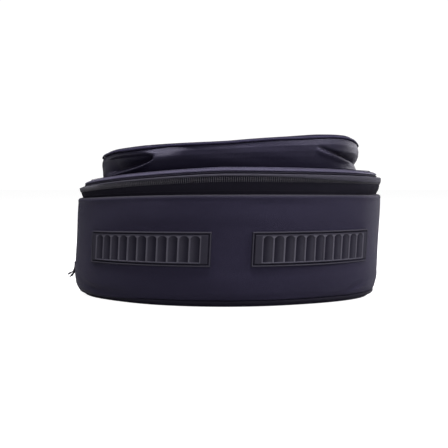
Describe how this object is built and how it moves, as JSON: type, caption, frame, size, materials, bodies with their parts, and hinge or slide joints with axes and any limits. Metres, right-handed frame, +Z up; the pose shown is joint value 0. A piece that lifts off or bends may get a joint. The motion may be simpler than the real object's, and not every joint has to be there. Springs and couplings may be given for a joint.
{
  "type": "acoustic guitar bag",
  "caption": "Padded soft bag in a guitar outline with a zipped lid, ribbed rubber scuff plates at the tail and a front pocket, lying on its back.",
  "frame": {"origin": "middle of the flat back face that lies on the floor", "axes": "+Y from the tail end to the head end, +X across to the picture's right, +Z up from the back to the lid"},
  "size_m": [0.456, 1.0974, 0.2257],
  "materials": {
    "nylon": "coated woven nylon, soft sheen",
    "pocket_nylon": "coated woven nylon, soft sheen",
    "piping": "covered cord",
    "border": "ribbed binding tape",
    "zip_tape": "matt woven tape",
    "zip_teeth": "satin coil",
    "slider": "black enamel",
    "bumper_rubber": "moulded, satin",
    "webbing": "woven webbing, cut ends"
  },
  "bodies": {
    "root": {"back_panel": "nylon", "back_piping": "piping", "gusset": "nylon", "zip_tape_lower": "zip_tape", "zip_tape_upper": "zip_tape", "zip_chain": "zip_teeth", "zip_slider": "slider", "lid_border": "border", "lid_piping": "piping", "lid_panel": "nylon", "pocket_wall": "pocket_nylon", "pocket_panel": "pocket_nylon", "pocket_piping": "piping", "pocket_zip": "zip_tape", "pocket_zip_slider": "slider", "bumper_left": "bumper_rubber", "bumper_right": "bumper_rubber", "strap_tab": "webbing"}
  },
  "joints": []
}
